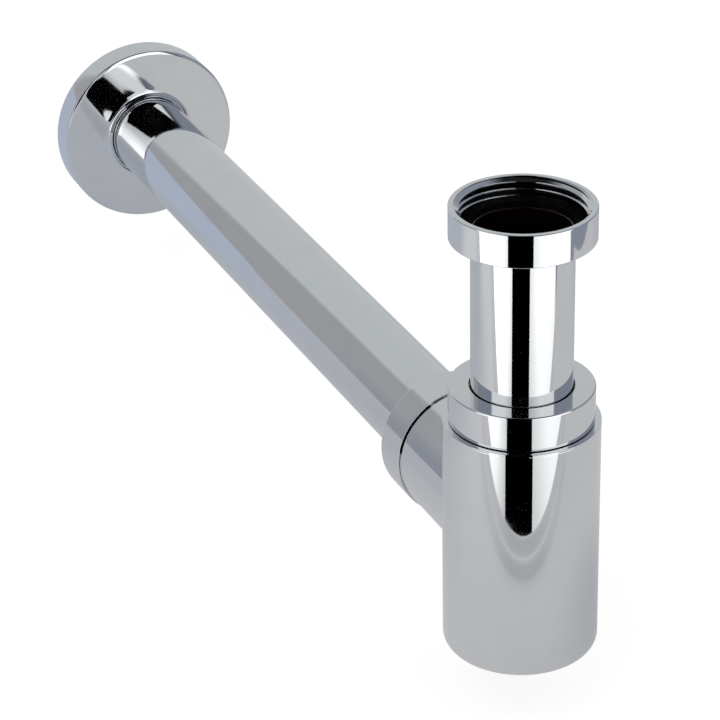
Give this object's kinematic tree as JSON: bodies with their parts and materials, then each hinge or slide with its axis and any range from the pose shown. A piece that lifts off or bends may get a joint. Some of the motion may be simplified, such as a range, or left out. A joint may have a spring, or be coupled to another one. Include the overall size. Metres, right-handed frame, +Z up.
{
  "type": "basin trap",
  "caption": "Chromed bottle trap for a basin: union nut and inlet tube into a round bottle, side outlet with a long pipe to a wall rosette.",
  "frame": {"origin": "centre of the union's sealing face, which is the top of the flat washer inside the union nut", "axes": "+Z up out of the union nut's mouth, along the inlet tube and the bottle; +Y along the outlet pipe to the wall"},
  "size_m": [0.0714, 0.3889, 0.1541],
  "materials": {
    "polished_chrome": "mirror polished chrome plate on brass",
    "black_rubber": "moulded black rubber",
    "white_nylon": "moulded natural nylon"
  },
  "bodies": {
    "inlet": {"inlet_tube": "polished_chrome", "inlet_washer": "black_rubber"},
    "union_nut": {"inlet_union_nut": "polished_chrome"},
    "height_seal": {"top_seal": "black_rubber"},
    "bottle": {"bottle_body": "polished_chrome"},
    "top_ring": {"top_slip_ring": "white_nylon"},
    "top_nut": {"top_nut": "polished_chrome"},
    "pipe_seal": {"outlet_seal": "black_rubber"},
    "pipe": {"outlet_pipe": "polished_chrome"},
    "outlet_ring": {"outlet_slip_ring": "white_nylon"},
    "outlet_nut": {"outlet_nut": "polished_chrome"},
    "rosette_grip": {"rosette_ring": "black_rubber"},
    "rosette": {"wall_rosette": "polished_chrome"},
    "plug_ring": {"cleanout_oring": "black_rubber"},
    "plug": {"cleanout_plug": "polished_chrome"}
  },
  "joints": [
    {"name": "union_nut_spin", "type": "hinge", "parent": "inlet", "child": "union_nut", "pos_m": [0, 0, 0], "axis": [0, 0, 1], "continuous": true},
    {"name": "height_slide", "type": "slide", "parent": "inlet", "child": "height_seal", "axis": [0, 0, 1], "range_m": [-0.016, 0.006]},
    {"name": "bottle_swivel", "type": "hinge", "parent": "height_seal", "child": "bottle", "pos_m": [0, 0, -0.0667], "axis": [0, 0, 1], "continuous": true},
    {"name": "top_ring_lift", "type": "slide", "parent": "bottle", "child": "top_ring", "axis": [0, 0, 1], "range_m": [0, 0.0058]},
    {"name": "top_nut_turn", "type": "hinge", "parent": "top_ring", "child": "top_nut", "pos_m": [0, 0, -0.0667], "axis": [0, 0, 1], "range_deg": [0, 900]},
    {"name": "pipe_spin", "type": "hinge", "parent": "bottle", "child": "pipe_seal", "pos_m": [0, 0.0434, -0.1009], "axis": [0, 1, 0], "continuous": true},
    {"name": "pipe_depth", "type": "slide", "parent": "pipe_seal", "child": "pipe", "axis": [0, 1, 0], "range_m": [-0.006, 0.012]},
    {"name": "outlet_ring_slide", "type": "slide", "parent": "bottle", "child": "outlet_ring", "axis": [0, 1, 0], "range_m": [0, 0.0058]},
    {"name": "outlet_nut_turn", "type": "hinge", "parent": "outlet_ring", "child": "outlet_nut", "pos_m": [0, 0.0434, -0.1009], "axis": [0, 1, 0], "range_deg": [0, 900]},
    {"name": "rosette_slide", "type": "slide", "parent": "pipe", "child": "rosette_grip", "axis": [0, 1, 0], "range_m": [-0.25, 0.012]},
    {"name": "rosette_spin", "type": "hinge", "parent": "rosette_grip", "child": "rosette", "pos_m": [0, 0.3484, -0.1009], "axis": [0, 1, 0], "continuous": true},
    {"name": "plug_ring_drop", "type": "slide", "parent": "bottle", "child": "plug_ring", "axis": [0, 0, -1], "range_m": [0, 0.0046]},
    {"name": "plug_turn", "type": "hinge", "parent": "plug_ring", "child": "plug", "pos_m": [0, 0, -0.1481], "axis": [0, 0, -1], "range_deg": [0, 1080]}
  ],
  "couplings": [
    {"joint": "top_ring_lift", "follows": "top_nut_turn", "m_per_rad": 0.00036749},
    {"joint": "outlet_ring_slide", "follows": "outlet_nut_turn", "m_per_rad": 0.00036749},
    {"joint": "plug_ring_drop", "follows": "plug_turn", "m_per_rad": 0.00023873}
  ]
}
